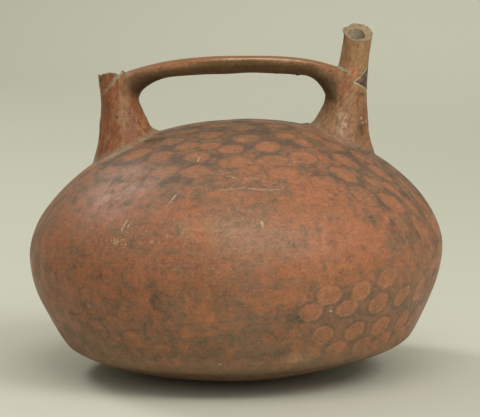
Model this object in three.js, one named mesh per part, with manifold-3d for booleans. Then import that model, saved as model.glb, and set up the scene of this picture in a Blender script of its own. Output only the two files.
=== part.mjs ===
// Bridge-handled vessel: a hollow, squat clay bottle with two narrow spouts joined by an arched strap handle.
// The left spout is broken off level with the strap, and the right one ends in a slanting break.
// Millimetres, +Z up. The foot stands on Z = 0, and the front is the -Y side.

import * as THREE from 'three';
import { mergeVertices } from 'three/addons/utils/BufferGeometryUtils.js';
import Module from 'manifold-3d';

const wasm = await Module();
wasm.setup();

// Body: widest ring, crown and heel, as distances from the axis and heights above the foot
const BODY_RADIUS = 90;
const WIDEST_HEIGHT = 54;
const CROWN_HEIGHT = 109.8;
const HEEL_RADIUS = 75;
const HEEL_HEIGHT = 15.3;
const HEEL_SLOPE = THREE.MathUtils.degToRad(47.7);
const BASE_DEPTH = -1.2;
const WALL = 5;
const LEAN = THREE.MathUtils.degToRad(2.06);

// Body fullness: how far each stretch of the outline keeps the direction of its ends
const CROWN_FULLNESS = 55.7;
const SHOULDER_FULLNESS = 20.9;
const SIDE_FULLNESS = 17.4;
const HEEL_ROUNDING = 1;
const UNDERSIDE_FULLNESS = 10.2;
const BASE_FULLNESS = 34.5;

// Spouts, as [distance of the axis from the body's axis, outer radius, height], from the root up
const BROKEN_SPOUT = [
  [-42, 21, 89],
  [-45.2, 15.2, 99],
  [-48, 11.4, 107],
  [-50.2, 8.6, 118],
  [-52.6, 6.8, 127],
  [-54.8, 6.4, 140],
];
const POURING_SPOUT = [
  [40, 21, 93],
  [43.3, 15, 103],
  [45.8, 11.7, 111],
  [47.8, 9, 120],
  [50, 7, 130],
  [51.3, 6.25, 137],
  [54.4, 6.2, 158],
];

// Bores, as [distance of the axis, radius, height], each from inside the body to above the break
const BROKEN_BORE = [
  [-46, 9, 80],
  [-50.6, 4.9, 112],
  [-53.2, 3.9, 142],
];
const POURING_BORE = [
  [46, 9.5, 84],
  [49.3, 5, 118],
  [51.1, 4, 134],
  [52.9, 3.9, 160],
];

// Strap handle: a flat band that arches from one spout to the other
const STRAP_LEFT = -51.5;
const STRAP_RIGHT = 49;
const STRAP_HALF_WIDTH = 10;
const STRAP_END_HALF_WIDTH = 5.5;
const STRAP_NARROWING = 13;
const STRAP_CREST = { x: 4, height: 137.8 };
const STRAP_CREST_DROP = { over: 45, by: 5, power: 2.5 };
const SOFFIT_CREST = { x: 5, height: 130.4 };
const SOFFIT_DROP = { over: 33, by: 1.4, power: 2 };
const LEFT_FILLET = { start: -31.7, radius: 10 };
const RIGHT_FILLET = { start: 29.7, radius: 9 };
const STRAP_SQUARENESS = 2.5;

// Breaks: where each one crosses its spout, its slopes, and how rough it is
const BROKEN_RIM = { x: -57, height: 129.8, slopeX: 0.16, slopeY: 0.05, size: 22, roughness: 0.5 };
const POURING_RIM = { x: 52.5, height: 148, slopeX: -0.03, slopeY: 0.55, size: 24, roughness: 0.4 };
const BREAK_GRAIN = 1.1;
const BREAK_PHASE = 1;

// Facets
const BODY_SIDES = 64;
const OUTLINE_STEPS = 9;
const CAVITY_SIDES = 40;
const CAVITY_STEPS = 6;
const SPOUT_SIDES = 24;
const SPOUT_STEPS = 12;
const BORE_SIDES = 16;
const BORE_STEPS = 7;
const STRAP_SIDES = 20;
const STRAP_STEPS = 26;
const BREAK_STEPS = 8;
const MERGE_DISTANCE = 1e-4;

const CLAY = new THREE.MeshStandardMaterial({ color: 0x8f5538, roughness: 0.5, metalness: 0 });

// A closed solid from a geometry: shared corners are merged and triangles without area are dropped.
function solidOf(geometry) {
  const bare = new THREE.BufferGeometry();
  bare.setAttribute('position', geometry.getAttribute('position'));
  bare.setIndex(geometry.getIndex());
  const merged = mergeVertices(bare, MERGE_DISTANCE);
  const corners = Array.from(merged.getIndex().array);
  const triangles = [];
  for (let i = 0; i < corners.length; i += 3) {
    const [a, b, c] = corners.slice(i, i + 3);
    if (a !== b && b !== c && c !== a) triangles.push(a, b, c);
  }
  const vertProperties = new Float32Array(merged.getAttribute('position').array);
  const triVerts = new Uint32Array(triangles);
  return new wasm.Manifold(new wasm.Mesh({ numProp: 3, vertProperties, triVerts }));
}

// The mesh geometry of a finished solid.
function geometryOf(solid) {
  const mesh = solid.getMesh();
  const geometry = new THREE.BufferGeometry();
  geometry.setAttribute('position', new THREE.BufferAttribute(new Float32Array(mesh.vertProperties), 3));
  geometry.setIndex(new THREE.BufferAttribute(new Uint32Array(mesh.triVerts), 1));
  geometry.computeVertexNormals();
  return geometry;
}

// Moves every vertex of a geometry to where the rule puts it.
function reshape(geometry, rule) {
  const position = geometry.getAttribute('position');
  const point = new THREE.Vector3();
  for (let i = 0; i < position.count; i += 1) {
    point.fromBufferAttribute(position, i);
    rule(point, i);
    position.setXYZ(i, point.x, point.y, point.z);
  }
  return geometry;
}

// The body's half outline from the middle of the base to the crown, drawn in by an inset.
function bodyOutline(inset) {
  const radius = BODY_RADIUS - inset;
  const shrink = radius / BODY_RADIUS;
  const crown = CROWN_HEIGHT - inset;
  const base = BASE_DEPTH + inset;
  const side = WIDEST_HEIGHT - SIDE_FULLNESS * shrink;
  const shoulder = WIDEST_HEIGHT + SHOULDER_FULLNESS * shrink;
  const across = Math.sin(HEEL_SLOPE);
  const up = Math.cos(HEEL_SLOPE);
  const heelX = HEEL_RADIUS - inset * up;
  const heelY = HEEL_HEIGHT + inset * across;
  const beside = (distance) => [heelX + distance * across, heelY + distance * up];
  const path = new THREE.Path();
  path.moveTo(0, base);
  path.bezierCurveTo(BASE_FULLNESS * shrink, base, ...beside(-UNDERSIDE_FULLNESS * shrink), heelX, heelY);
  path.bezierCurveTo(...beside(HEEL_ROUNDING), radius, side, radius, WIDEST_HEIGHT);
  path.bezierCurveTo(radius, shoulder, CROWN_FULLNESS * shrink, crown, 0, crown);
  return path;
}

// The body's outline turned about its axis and leant to the left about the widest ring.
function bodySolid(inset, steps, sides) {
  const turned = new THREE.LatheGeometry(bodyOutline(inset).getPoints(steps), sides);
  turned.rotateX(Math.PI / 2);
  turned.translate(0, 0, -WIDEST_HEIGHT);
  turned.rotateY(-LEAN);
  turned.translate(0, 0, WIDEST_HEIGHT);
  return solidOf(turned);
}

// A round tube whose axis and radius follow smooth curves through the given stations.
function tubeSolid(stations, steps, sides) {
  const curve = new THREE.CatmullRomCurve3(stations.map((station) => new THREE.Vector3(...station)));
  const rings = curve.getPoints(steps);
  const first = rings[0];
  const last = rings[steps];
  const centres = [first.x, ...rings.map((ring) => ring.x), last.x];
  const outline = [
    new THREE.Vector2(0, first.z),
    ...rings.map((ring) => new THREE.Vector2(ring.y, ring.z)),
    new THREE.Vector2(0, last.z),
  ];
  const tube = new THREE.LatheGeometry(outline, sides);
  tube.rotateX(Math.PI / 2);
  reshape(tube, (point, i) => {
    point.x += centres[i % centres.length];
  });
  return solidOf(tube);
}

// Height of an arch that falls away on both sides of its crest.
function archHeight(crest, drop, x) {
  return crest.height - drop.by * Math.pow(Math.abs(x - crest.x) / drop.over, drop.power);
}

// How far the strap's underside curves down into a spout, at a distance past the start of the fillet.
function filletDrop(radius, distance) {
  const inside = THREE.MathUtils.clamp(distance, 0, radius);
  return radius - Math.sqrt(radius * radius - inside * inside);
}

// Half the strap's width, which narrows inside the spouts.
function strapHalfWidth(x) {
  const fromEnd = Math.min(x - STRAP_LEFT, STRAP_RIGHT - x);
  const share = THREE.MathUtils.smoothstep(fromEnd, 0, STRAP_NARROWING);
  return THREE.MathUtils.lerp(STRAP_END_HALF_WIDTH, STRAP_HALF_WIDTH, share);
}

// A coordinate of a rounded rectangle, from the same coordinate of a circle.
function squared(value) {
  return Math.sign(value) * Math.pow(Math.abs(value), 2 / STRAP_SQUARENESS);
}

// The strap: a round bar laid along X, with its sections made rounded rectangles between top and soffit.
function strapSolid() {
  const bar = new THREE.CylinderGeometry(1, 1, 2, STRAP_SIDES, STRAP_STEPS);
  bar.rotateZ(-Math.PI / 2);
  const middle = (STRAP_LEFT + STRAP_RIGHT) / 2;
  const half = (STRAP_RIGHT - STRAP_LEFT) / 2;
  reshape(bar, (point) => {
    const x = middle + half * Math.sin((Math.PI / 2) * point.x);
    const top = archHeight(STRAP_CREST, STRAP_CREST_DROP, x);
    const leftDrop = filletDrop(LEFT_FILLET.radius, LEFT_FILLET.start - x);
    const rightDrop = filletDrop(RIGHT_FILLET.radius, x - RIGHT_FILLET.start);
    const soffit = archHeight(SOFFIT_CREST, SOFFIT_DROP, x) - leftDrop - rightDrop;
    const y = strapHalfWidth(x) * squared(point.y);
    const z = (top + soffit) / 2 + ((top - soffit) / 2) * squared(point.z);
    point.set(x, y, z);
  });
  return solidOf(bar);
}

// A block whose underside is a sloping, uneven break; it is cut away from the spout below it.
function breakSolid(rim) {
  const block = new THREE.BoxGeometry(rim.size, rim.size, rim.size, BREAK_STEPS, BREAK_STEPS, 1);
  reshape(block, (point) => {
    const slope = rim.slopeX * point.x + rim.slopeY * point.y;
    const uneven = Math.sin(BREAK_GRAIN * point.x + BREAK_PHASE) * Math.cos(BREAK_GRAIN * point.y);
    const underside = slope + rim.roughness * uneven;
    point.z = point.z < 0 ? underside : rim.size + slope;
  });
  block.translate(rim.x, 0, rim.height);
  return solidOf(block);
}

// Everything below the level that the vessel stands on.
function groundSolid() {
  const size = 2 * BODY_RADIUS;
  const block = new THREE.BoxGeometry(size, size, size);
  block.translate(0, 0, -size / 2);
  return solidOf(block);
}

// The whole vessel: the outside is joined first, then the hollow, the breaks and the flat foot are cut.
function vesselSolid() {
  const outside = bodySolid(0, OUTLINE_STEPS, BODY_SIDES)
    .add(tubeSolid(BROKEN_SPOUT, SPOUT_STEPS, SPOUT_SIDES))
    .add(tubeSolid(POURING_SPOUT, SPOUT_STEPS, SPOUT_SIDES))
    .add(strapSolid());
  return outside
    .subtract(bodySolid(WALL, CAVITY_STEPS, CAVITY_SIDES))
    .subtract(tubeSolid(BROKEN_BORE, BORE_STEPS, BORE_SIDES))
    .subtract(tubeSolid(POURING_BORE, BORE_STEPS, BORE_SIDES))
    .subtract(breakSolid(BROKEN_RIM))
    .subtract(breakSolid(POURING_RIM))
    .subtract(groundSolid());
}

const vessel = new THREE.Mesh(geometryOf(vesselSolid()), CLAY);
vessel.name = 'vessel';

const part = new THREE.Group();
part.add(vessel);

export default part;
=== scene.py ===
"""Looks of the bridge-handled vessel: one hollow clay bottle, built from surfaces worked out with numpy.

Sizes are in millimetres and turn into metres when a mesh is made. +Z is up, the front is the -Y side, and
the foot stands on Z = 0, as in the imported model. Angles about the body's axis are 0 at the right (+X) and
-90 degrees at the front.
"""

import bmesh
import bpy
import numpy as np
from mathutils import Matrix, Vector


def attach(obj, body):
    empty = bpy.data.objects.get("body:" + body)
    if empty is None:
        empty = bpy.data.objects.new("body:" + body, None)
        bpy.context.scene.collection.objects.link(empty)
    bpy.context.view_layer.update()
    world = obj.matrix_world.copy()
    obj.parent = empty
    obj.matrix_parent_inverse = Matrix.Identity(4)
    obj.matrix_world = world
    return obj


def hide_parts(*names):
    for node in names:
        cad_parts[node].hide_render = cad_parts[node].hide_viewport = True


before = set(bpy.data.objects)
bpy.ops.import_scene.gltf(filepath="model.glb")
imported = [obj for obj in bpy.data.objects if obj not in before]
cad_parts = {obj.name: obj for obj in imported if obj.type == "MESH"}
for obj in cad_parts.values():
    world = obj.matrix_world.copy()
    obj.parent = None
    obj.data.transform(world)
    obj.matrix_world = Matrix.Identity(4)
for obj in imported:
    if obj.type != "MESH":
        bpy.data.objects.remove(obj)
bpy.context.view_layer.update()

MM = 0.001
FRONT = np.radians(-90)

# Backdrop, in metres: a floor, quarter-round coves behind the vessel and at both sides, and a wall behind
FLOOR_FRONT = -3.0
FLOOR_HALF_WIDTH = 4.0
COVE_START = 1.9
COVE_RADIUS = 0.9
COVE_STEPS = 48
WALL_TOP = 4.0
PAPER = (0.59, 0.583, 0.47, 1)
PAPER_ROUGHNESS = 0.9
PAPER_SPECULAR = 0.1

# Camera, in metres and degrees, as the vessel's outline fits it
CAMERA_PLACE = (0.00172, -0.978, 0.193)
CAMERA_TILT = 7.1
LENS = 169.14
SENSOR = 36

# Even surround
SURROUND = (0.95, 0.95, 0.9, 1)
SURROUND_STRENGTH = 0.465

# Square lights in degrees, metres and watts: name, azimuth, elevation, distance, size, power, aim, spread
AIM = (0, 0, 0.06)
WALL_AIM = (0.1, 2.0, 0)
LIGHTS = (
    ("overhead", 8, 62, 1.6, 0.9, 6.6, AIM, 180),
    ("key", 50, 40, 1.6, 0.6, 9.0, AIM, 180),
    ("left", -126, 45, 1.6, 0.4, 7.7, AIM, 180),
    ("fill", 12, 20, 1.8, 1.2, 5.2, AIM, 180),
    ("wall", 90, 76, 2.0, 1.0, 3.8, WALL_AIM, 84),
)

# Body: widest ring, crown and heel, then how far each stretch of the outline keeps its end directions
BODY_RADIUS = 90.0
WIDEST_HEIGHT = 54.0
CROWN_HEIGHT = 109.8
HEEL_RADIUS = 75.0
HEEL_HEIGHT = 15.3
HEEL_SLOPE = np.radians(47.7)
BASE_DEPTH = -1.2
WALL = 5.0
LEAN = np.radians(2.06)
CROWN_FULLNESS = 55.7
SHOULDER_FULLNESS = 20.9
SIDE_FULLNESS = 17.4
HEEL_ROUNDING = 1.0
UNDERSIDE_FULLNESS = 10.2
BASE_FULLNESS = 34.5

# Unevenness as ripples: size, wavelength, seed; a spout's or a bore's own seed is added to its ripples'
WAVES = 24
WAVE_SPREAD = (0.7, 1.4)
BODY_RIPPLES = ((0.35, 55, 11), (0.12, 22, 12))
CAVITY_RIPPLES = ((0.4, 40, 13),)
STRAP_RIPPLES = ((0.025, 16, 31),)
TUBE_RIPPLES = ((0.12, 14, 0), (0.05, 5, 1))
BROKEN_RIM_RIPPLES = ((0.3, 5, 41), (0.12, 1.8, 42))
POURING_RIM_RIPPLES = ((0.3, 5, 51), (0.14, 1.6, 52))
BROKEN_SPOUT_SEED = 21
POURING_SPOUT_SEED = 23
BROKEN_BORE_SEED = 25
POURING_BORE_SEED = 27

# Swells of the body: angle, half turn, height, half height, how far it stands out
SWELLS = (
    (180, 70, 67, 12, 0.6),
    (180, 70, 27, 9, -0.4),
    (0, 70, 67, 12, -0.25),
    (0, 70, 28, 9, -0.35),
)

# Crown: how far it is raised in the middle and tilted over a run of X, between two heights
CROWN_SWELL = (0.2, 0.5, 15.0)
CROWN_HEIGHTS = (98.0, 107.0)

# Spouts and their bores, as (distance of the axis from the body's axis, radius, height), from the root up
BROKEN_SPOUT = ((-42, 21, 89), (-45.2, 15.2, 99), (-48.15, 11.2, 107), (-50.4, 8.35, 118), (-52.6, 6.8, 127),
                (-54.8, 6.4, 140))
POURING_SPOUT = ((40, 21, 93), (43.3, 15, 103), (46.05, 11.4, 111), (48.05, 8.75, 120), (50, 7, 130),
                 (51.3, 6.25, 137), (54.4, 6.2, 158))
BROKEN_BORE = ((-46, 9, 80), (-50.6, 4.9, 112), (-53.2, 3.9, 142))
POURING_BORE = ((46, 9.5, 84), (49.3, 5, 118), (51.1, 4, 134), (52.9, 3.6, 160))
BORE_FORWARD = 1.6

# Strap handle: an arched band whose top and soffit fall away from a crest and curve into the spouts
STRAP_LEFT = -52.5
STRAP_RIGHT = 50.0
STRAP_HALF_WIDTH = 10.0
STRAP_END_HALF_WIDTH = 6.9
STRAP_NARROWING = 17.0
STRAP_CREST = (4.0, 137.6)
LEFT_DROP = (45.0, 4.77, 2.64)
RIGHT_DROP = (45.0, 6.6, 3.0)
SOFFIT_CREST = (5.0, 130.4)
SOFFIT_LEFT_DROP = (33.0, 1.7, 2.0)
SOFFIT_RIGHT_DROP = (33.0, 1.4, 2.0)
LEFT_FILLET = (-24.0, 0.0009)
RIGHT_FILLET = (27.0, 0.0052)
FILLET_FALL = 22.0
EDGE_DEPTH = (0.13, 0.34)
EDGE_RUN = 35.0
TOP_SQUARENESS = 3.6
UNDER_SQUARENESS = 2.0

# How far the joins are smoothed over: spout roots outside and inside the gap, strap ends below and above
ROOT_REACH = (0.9, 4.8)
STRAP_REACH = 6.5
LEFT_TOP_REACH = 1.5
RIGHT_TOP_REACH = 1.0
LEAST_REACH = 0.05

# Where the reaches change: shares of a spout's radius towards the gap, and heights above the strap's edge
ROOT_CHANGE = (-0.2, 1.0)
STRAP_CHANGE = (-0.5, 0.3)
EDGE_CHANGE = (-0.5, 1.5)

# How points move onto the smooth skin: moves, span of a slope, share of a slide, then the least values
BLEND_STEPS = 8
SLOPE_SPAN = 0.05
SLIDE_SHARE = 0.4
LEAST_MOVE = 1e-4
LEAST_STEEPNESS = 0.2
LEAST_SWELLING = 1e-3

# Breaks: a plug with an uneven underside is cut from the top of each spout; the left rim is (X, height)
BROKEN_RIM = (
    (-61.5, 129.4), (-59.9, 129.9), (-59.2, 129.9), (-58.5, 129.8), (-57.6, 130.3), (-56.2, 130.7),
    (-54.4, 131.1), (-53.2, 130.6), (-51.7, 130.5), (-50.6, 129.9), (-50.0, 130.1), (-49.6, 131.75),
    (-49.1, 131.9), (-48.6, 130.8), (-47.2, 131.0), (-46.0, 131.7), (-44.0, 132.9),
)
BROKEN_RIM_SLOPE = 0.09
BROKEN_RIM_FRONT = -6.0
BROKEN_PLUG = (-55.6, 10.0)
POURING_RIM_HEIGHT = 148.1
POURING_RIM_SLOPE = (-0.13, 0.57)
POURING_PLUG = (52.6, 9.0)
PLUG_TOP = 165.0

# Bare clay in the breaks: half depth, where along X each lies, how far the left one leaves its spout
BARE_HALF_DEPTH = 0.25
BROKEN_BREAK_END = -44.0
POURING_BREAK_START = 40.0
BROKEN_BREAK_REACH = 1.5

# Incised triangle on the right spout, as (angle, height) of its corners, and its groove
TRIANGLE = ((-80, 127.1), (25, 137.4), (25, 121.0))
TRIANGLE_RADIUS = 7.3
GROOVE_HALF_WIDTH = 0.5
GROOVE_DEPTH = 0.4

# Where the triangle's colours lie: depth of skin, least X, greatest Y, least and greatest height
INCISED_SKIN = 1.0
INCISED_LEFT = 30.0
INCISED_BACK = 6.0
INCISED_HEIGHTS = (118.0, 138.0)

# Lip left standing at the left of the right rim: angle, height, half turn, half height, how far it stands out
RIM_LIP = (np.pi, 149.2, 0.35, 1.0, 1.1)

# Drips of slip under the strap: X, Y, half size, depth
DRIPS = ((26.6, -3.5, 0.9, 0.6), (24.2, -4.0, 0.7, 0.3), (17.0, -3.0, 0.9, 0.3))

# Steps of each grid: rings, then sides
BODY_GRID = (150, 330)
CAVITY_GRID = (40, 80)
BROKEN_SPOUT_GRID = (80, 88)
POURING_SPOUT_GRID = (130, 110)
BORE_GRID = (40, 40)
STRAP_GRID = (140, 60)
PLUG_GRID = (36, 96)
OUTLINE_STEPS = 200
TRACK_STEPS = 200

# Block that is cut away below the foot
GROUND_SIDES = 64
GROUND_BOTTOM = -30.0

# A distance that counts as nowhere near
FAR = 50.0

# Painted dots in front: arc length from the crown, then the angles of the dots that lie at that level
DOT_LEVELS = (
    (13, (-128,)), (20, (-76,)), (24, (-141, -38)), (28, (-109,)), (32, (-157, -20)), (35, (-80,)),
    (37, (-134, -52)), (41, (-118, -103, -33)), (45, (-90, -70, -47, -6)), (51, (-144, -127, -107, -30)),
    (56, (-89, -72, -57, -9)), (62, (-118, -105, -36, -21)), (65, (-146, -131, -70)), (70, (-160, -87, -45)),
    (73, (-111, -56, -24)), (77, (-145, -120, -34)), (80, (-97,)), (83, (-44, -28, -13)), (89, (-34,)),
    (93, (-24, -13)), (98, (-36,)), (104, (-26, -15)), (112, (-40,)), (117, (-26, -14)),
    (120, (-98, -87, -46)), (124, (-75, -65, -55)), (130, (-92, -83, -38, -28)), (131, (-70, -59, -48, -18)),
    (143, (-122, -75, -65, -54, -44, -33, -24)), (152, (-129, -116, -70, -59, -49, -40, -30)),
)

# Elsewhere the dots stand in staggered rows, where there is room for them
ROW_FIRST = 14.0
ROW_LAST = 153.0
ROW_SPACING = 10.4
DOT_PITCH = 15.0
DOT_ROOM = 11.5
DOT_HALF_WIDTH = ((0, 40, 55, 100, 120, 160), (5.6, 5.2, 5.8, 5.8, 4.9, 4.8))
DOT_HALF_HEIGHT = ((0, 60, 100, 125, 135, 160), (4.4, 4.1, 4.7, 3.8, 4.0, 4.3))
DOT_GAP = 1.18

# Seeded changes of the dots: their size, their tilt in radians, and how worn they are
DOT_SEED = 61
DOT_CHANGE = (0.92, 1.08)
DOT_TILT = 0.12
DOT_WEAR_SEED = 62

# Height above the body up to which the dots go on at a spout's foot
DOT_RISE = 3.5

# On the right the dots slant: down to the right above this level, up to the right below it
SLANT_LEVEL = 108.0
SLANT_RUN = 25.0
SLANT_ABOVE = np.radians(57)
SLANT_BELOW = np.radians(45)
SLANT_STRETCH = 0.2
STRETCHED_FROM = (62, 85)
SLANT_FROM = (-65, -38)

# On the left shoulder they slant down to the left, beyond the first of these angles, fully at the second
LEFT_SLANT = np.radians(38)
LEFT_SLANT_FROM = (-112, -140)

# Arc lengths between which the painted ground turns lighter and wears more evenly
LOW_GROUND = (100, 122)

# Patches on the body by what they change: (angle, arc length, half width, half height, strength)
BODY_PATCHES = {
    "paint": (
        (-100, 24, 90, 34, 1.0),
        (-20, 72, 40, 30, 0.95),
        # less paint: the lighter slip stands in for the sheen that washes out the dots on the upper right
        # shoulder, painted reflection
        (-52, 52, 26, 15, -0.25),
        (-148, 55, 36, 15, 0.6),
        (-27, 94, 22, 18, 0.9),
        # less paint here too, for the same painted reflection on the upper right shoulder
        (-42, 57, 22, 10, -0.25),
        (-43, 103, 8, 7, -0.4),
        (-112, 62, 22, 9, 0.35),
        (-66, 128, 14, 9, 0.55),
        (-86, 122, 16, 8, 0.3),
        (-36, 138, 46, 17, 1.0),
        (-62, 141, 20, 12, 0.6),
        (-52, 123, 24, 7, 0.45),
        (60, 60, 90, 50, 1.1),
        (150, 80, 70, 40, 0.4),
        (110, 130, 110, 22, 0.8),
        (-120, 142, 45, 12, 0.2),
    ),
    "ring": (
        (-100, 30, 80, 36, 0.7),
        (-30, 70, 50, 44, 0.8),
        (-38, 138, 48, 19, 0.75),
        (-67, 129, 16, 11, 0.5),
        (-88, 124, 16, 8, 0.35),
        (-128, 138, 50, 15, 0.8),
        (100, 90, 110, 70, 0.85),
    ),
    "dull": (
        (-110, 66, 34, 12, 0.25),
        (-88, 84, 30, 10, 0.12),
        (-60, 105, 34, 22, -0.25),
        (-135, 112, 40, 18, -0.25),
        (-95, 134, 30, 12, 0.2),
        (-26, 82, 34, 30, -0.25),
        # slip pulled to brown at the left edge, standing in for the grey reflection there: painted reflection
        (-168, 104, 22, 26, 0.3),
    ),
    "shade": (
        (-140, 112, 34, 20, -0.08),
        (-130, 82, 30, 9, -0.03),
        (-38, 135, 34, 16, 0.1),
        (-92, 134, 26, 11, 0.15),
        (-90, 160, 90, 7, 0.32),
        (-90, 168, 120, 5, -0.3),
    ),
    "tan": (
        (-85, 98, 24, 12, 0.45),
        (-100, 92, 20, 8, 0.3),
        (-71, 154, 9, 4, 1.1),
        (100, 95, 60, 16, 0.4),
    ),
    "grime": (
        (-84, 146, 26, 9, 0.8),
        (-92, 132, 24, 10, 0.4),
        (-90, 160, 120, 9, 0.7),
        (-125, 148, 40, 8, 0.6),
        (-90, 169, 150, 7, 0.9),
        (-145, 150, 26, 8, 0.4),
        (90, 162, 140, 8, 0.8),
        (100, 146, 60, 12, 0.5),
    ),
    "smudge": (
        (-112, 124, 7, 7, 0.9),
        (-109, 112, 2.5, 2.5, 0.9),
        (-118, 108, 3, 2.2, 0.9),
        (-100, 109, 4, 3, 0.75),
        (-92.5, 120, 6, 4, 0.9),
        (-135, 106, 3, 2, 0.8),
        (-128, 114, 2.5, 2.5, 0.75),
        (-157, 115, 2.5, 4, 0.5),
        (-146, 116, 3, 3.5, 0.8),
        (-147.5, 123, 3, 3, 0.75),
        (-143, 127.5, 4, 3, 0.6),
        (-143, 136, 6, 3, 0.6),
        (-136, 138.5, 6, 3, 0.65),
        (-126, 124.5, 6, 4, 0.65),
        (-123, 119.5, 2.5, 2, 0.5),
        (-122.5, 110.5, 4, 1.5, 0.5),
        (-137.5, 111.5, 2, 2, 0.6),
        (-95, 106.5, 5, 2, 0.5),
        (-122, 150, 5, 4, 0.6),
        (-116, 154, 4, 3, 0.4),
        (-130, 147, 8, 3, 0.5),
        (-74, 134, 8, 5, 0.7),
        (-81, 140.5, 6, 2.5, 0.75),
        (-82.5, 152.5, 8, 2.5, 0.6),
        (-76, 149.5, 7, 2, 0.55),
        (-102, 144.5, 6, 3, 0.6),
        (-114, 150, 8, 2.5, 0.55),
        (-62, 115, 5, 2.5, 0.4),
        (-124, 132, 7, 4, 0.5),
        (-78.5, 102, 3, 3, 0.7),
        (-63, 104, 4, 2.5, 0.5),
        (-80, 118, 3, 2, 0.5),
        (-88, 108, 2.2, 1.8, 1.0),
        (-90.5, 110.5, 1.6, 1.4, 0.9),
        (-104, 102, 3, 2.5, 0.6),
        (-57, 112, 3, 2, 0.35),
        (-42.5, 102, 3, 3, 0.4),
        (-57, 100, 3.5, 2, 0.5),
        (-57, 86, 5, 3, 0.45),
        (-72, 107.5, 3, 2, 0.5),
        (-53, 94, 3, 2.5, 0.4),
        (-49.5, 104, 3, 3, 0.4),
        (-84, 146, 7, 3, 0.5),
        (-107.5, 138, 5, 2.5, 0.65),
    ),
    # haze_highlight: pale greyish patches where the broad highlights fall on the left shoulder and the
    # middle, painted highlight
    "haze_highlight": (
        (-131, 79, 8, 6, 0.25),
        (-143, 68, 14, 9, 0.2),
        (-88, 96, 14, 7, 0.2),
    ),
    "speck": (
        (-125, 100, 8, 1.6, 0.9),
        (-80, 70, 22, 5, 0.35),
        (-110, 97, 30, 6, 0.25),
    ),
}

# What lies on the front fades in between these distances before the axis
FRONT_FADE = (-2.0, 2.0)

# Patches on the front of spouts and strap by what they change: (X, Z, half width, half height, strength)
FRONT_PATCHES = {
    # soot_and_shade: dark in the corners under the strap's ends, painted shade there, and dark stains on the
    # spouts' sides
    "soot_and_shade": (
        (-41.5, 125, 5, 6, 1.1),
        (-36, 128.5, 6, 3, 0.7),
        (40.8, 123.4, 3.6, 6, 1.1),
        (36.5, 127.6, 4, 2.5, 0.6),
        (54.0, 108, 2.8, 10, 0.55),
        (-45, 104, 3, 3, 0.3),
        (-57, 117, 2, 5, 0.35),
    ),
    "spot": (
        (42.8, 119, 1.0, 2.2, 0.7),
        (-51.6, 112, 1.1, 1.0, 0.8),
        (47.2, 148.2, 0.9, 1.5, 1.6),
        (46.9, 144.6, 0.6, 1.2, 0.7),
        (53.5, 121.5, 2.6, 1.6, 0.75),
        (50.0, 123.5, 1.0, 1.0, 0.4),
        (-58.5, 127.8, 0.9, 1.1, 0.9),
    ),
    "ochre": (
        (55, 142, 9, 14, 0.7),
        (38, 107, 8, 9, 0.3),
        (-48.5, 113, 1.8, 14, 0.2),
        (-57, 112, 5, 18, -0.38),
        (-43, 112, 3, 10, -0.2),
        # lighter ochre at the right spout's foot, partly a painted highlight
        (48, 114, 6, 9, 0.12),
    ),
    # gloss_and_highlight: glossier patches at the right spout's foot, which also take a pale painted
    # highlight
    "gloss_and_highlight": (
        (45.8, 108.3, 2.2, 5, 1.0),
        (45.3, 112.5, 1.8, 3, 0.4),
    ),
    "fresh": (
        (50.5, 131.5, 2.2, 3.2, 1.0),
        (49.5, 137, 2, 5, 0.3),
        (46.5, 124, 4, 5, 0.45),
        (54, 143, 4, 4, 0.35),
        (-50.5, 121, 2.5, 5, 0.6),
        (-40.5, 111, 2.5, 5, 0.6),
        (56, 106, 2.5, 5, 0.6),
    ),
}

# Feet of the left and right spouts: heights above the body between which the neck's colour takes over
NECK_STARTS = ((0.4, 1.4), (0.3, 3.6))

# Pale line round each foot: lift, half width, strength; then the height and the level within which it lies
FOOT_LINES = ((0.0, 1.9, 1.0), (1.8, 1.8, 0.12))
FOOT_RISE = 3.0
FOOT_LEVEL = 80.0

# Round the right foot the paint is thin: how far that reaches, how much is gone, how dull the slip is there
WORN_REACH = 5.0
WORN_PAINT = 1.2
WORN_DULLNESS = 0.5

# Distances from a spout between which the strap's colour takes over, and depths where the inside's does
STRAP_STARTS = (0.5, 6.0)
INSIDE_STARTS = (1.0, 1.8)

# Pale line on the front edge of the strap's top, partly wear and partly a painted glint: share of the half
# width, half size of that share, middle X, half length
EDGE_GLINT = (0.94, 0.045, 12.0, 19.0)

# Pale lines on the spouts, seen from the front: (X, Z of one end, X, Z of the other, half width, strength)
PALE_LINES = (
    (-46.0, 133.2, -49.4, 131.8, 1.0, 0.7),
    (-49.4, 131.8, -53.2, 126.8, 1.3, 0.85),
    (-53.2, 126.8, -57.5, 121.5, 0.9, 0.65),
    (44.8, 133.4, 49.2, 131.0, 1.0, 0.8),
    (49.2, 131.0, 50.4, 127.4, 0.6, 0.45),
    (54.1, 111.7, 54.2, 111.6, 0.7, 1.0),
    (54.6, 109.6, 54.7, 109.5, 0.7, 0.9),
    (56.1, 109.6, 56.2, 109.5, 0.6, 0.9),
)

# Bare scratches and chips on the body: (angle, arc length, half length, half width, slant, strength)
SCRATCHES = (
    (-109.7, 78.2, 1.7, 0.75, 62, 0.9),
    (-110.6, 80.6, 1.9, 0.45, 60, 0.5),
    (-123, 92, 2.3, 0.7, 75, 0.75),
    (-121.5, 92, 1.2, 0.7, 80, 0.7),
    (-82, 92, 1.0, 0.8, 90, 0.8),
    (-105.8, 52.7, 1.4, 0.8, 100, 0.8),
    (-62.5, 58, 0.5, 0.6, 0, 0.8),
    (-64, 131.4, 0.5, 0.55, 0, 0.9),
    (-96, 155, 0.7, 0.6, 40, 0.6),
    (-92, 65.5, 6.0, 0.5, -14, 0.5),
    (-83, 67.5, 4.0, 0.6, -6, 0.35),
    (-90, 73.5, 7.0, 0.45, 4, 0.35),
    (-79, 74.5, 9.0, 0.5, -5, 0.38),
)

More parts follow.
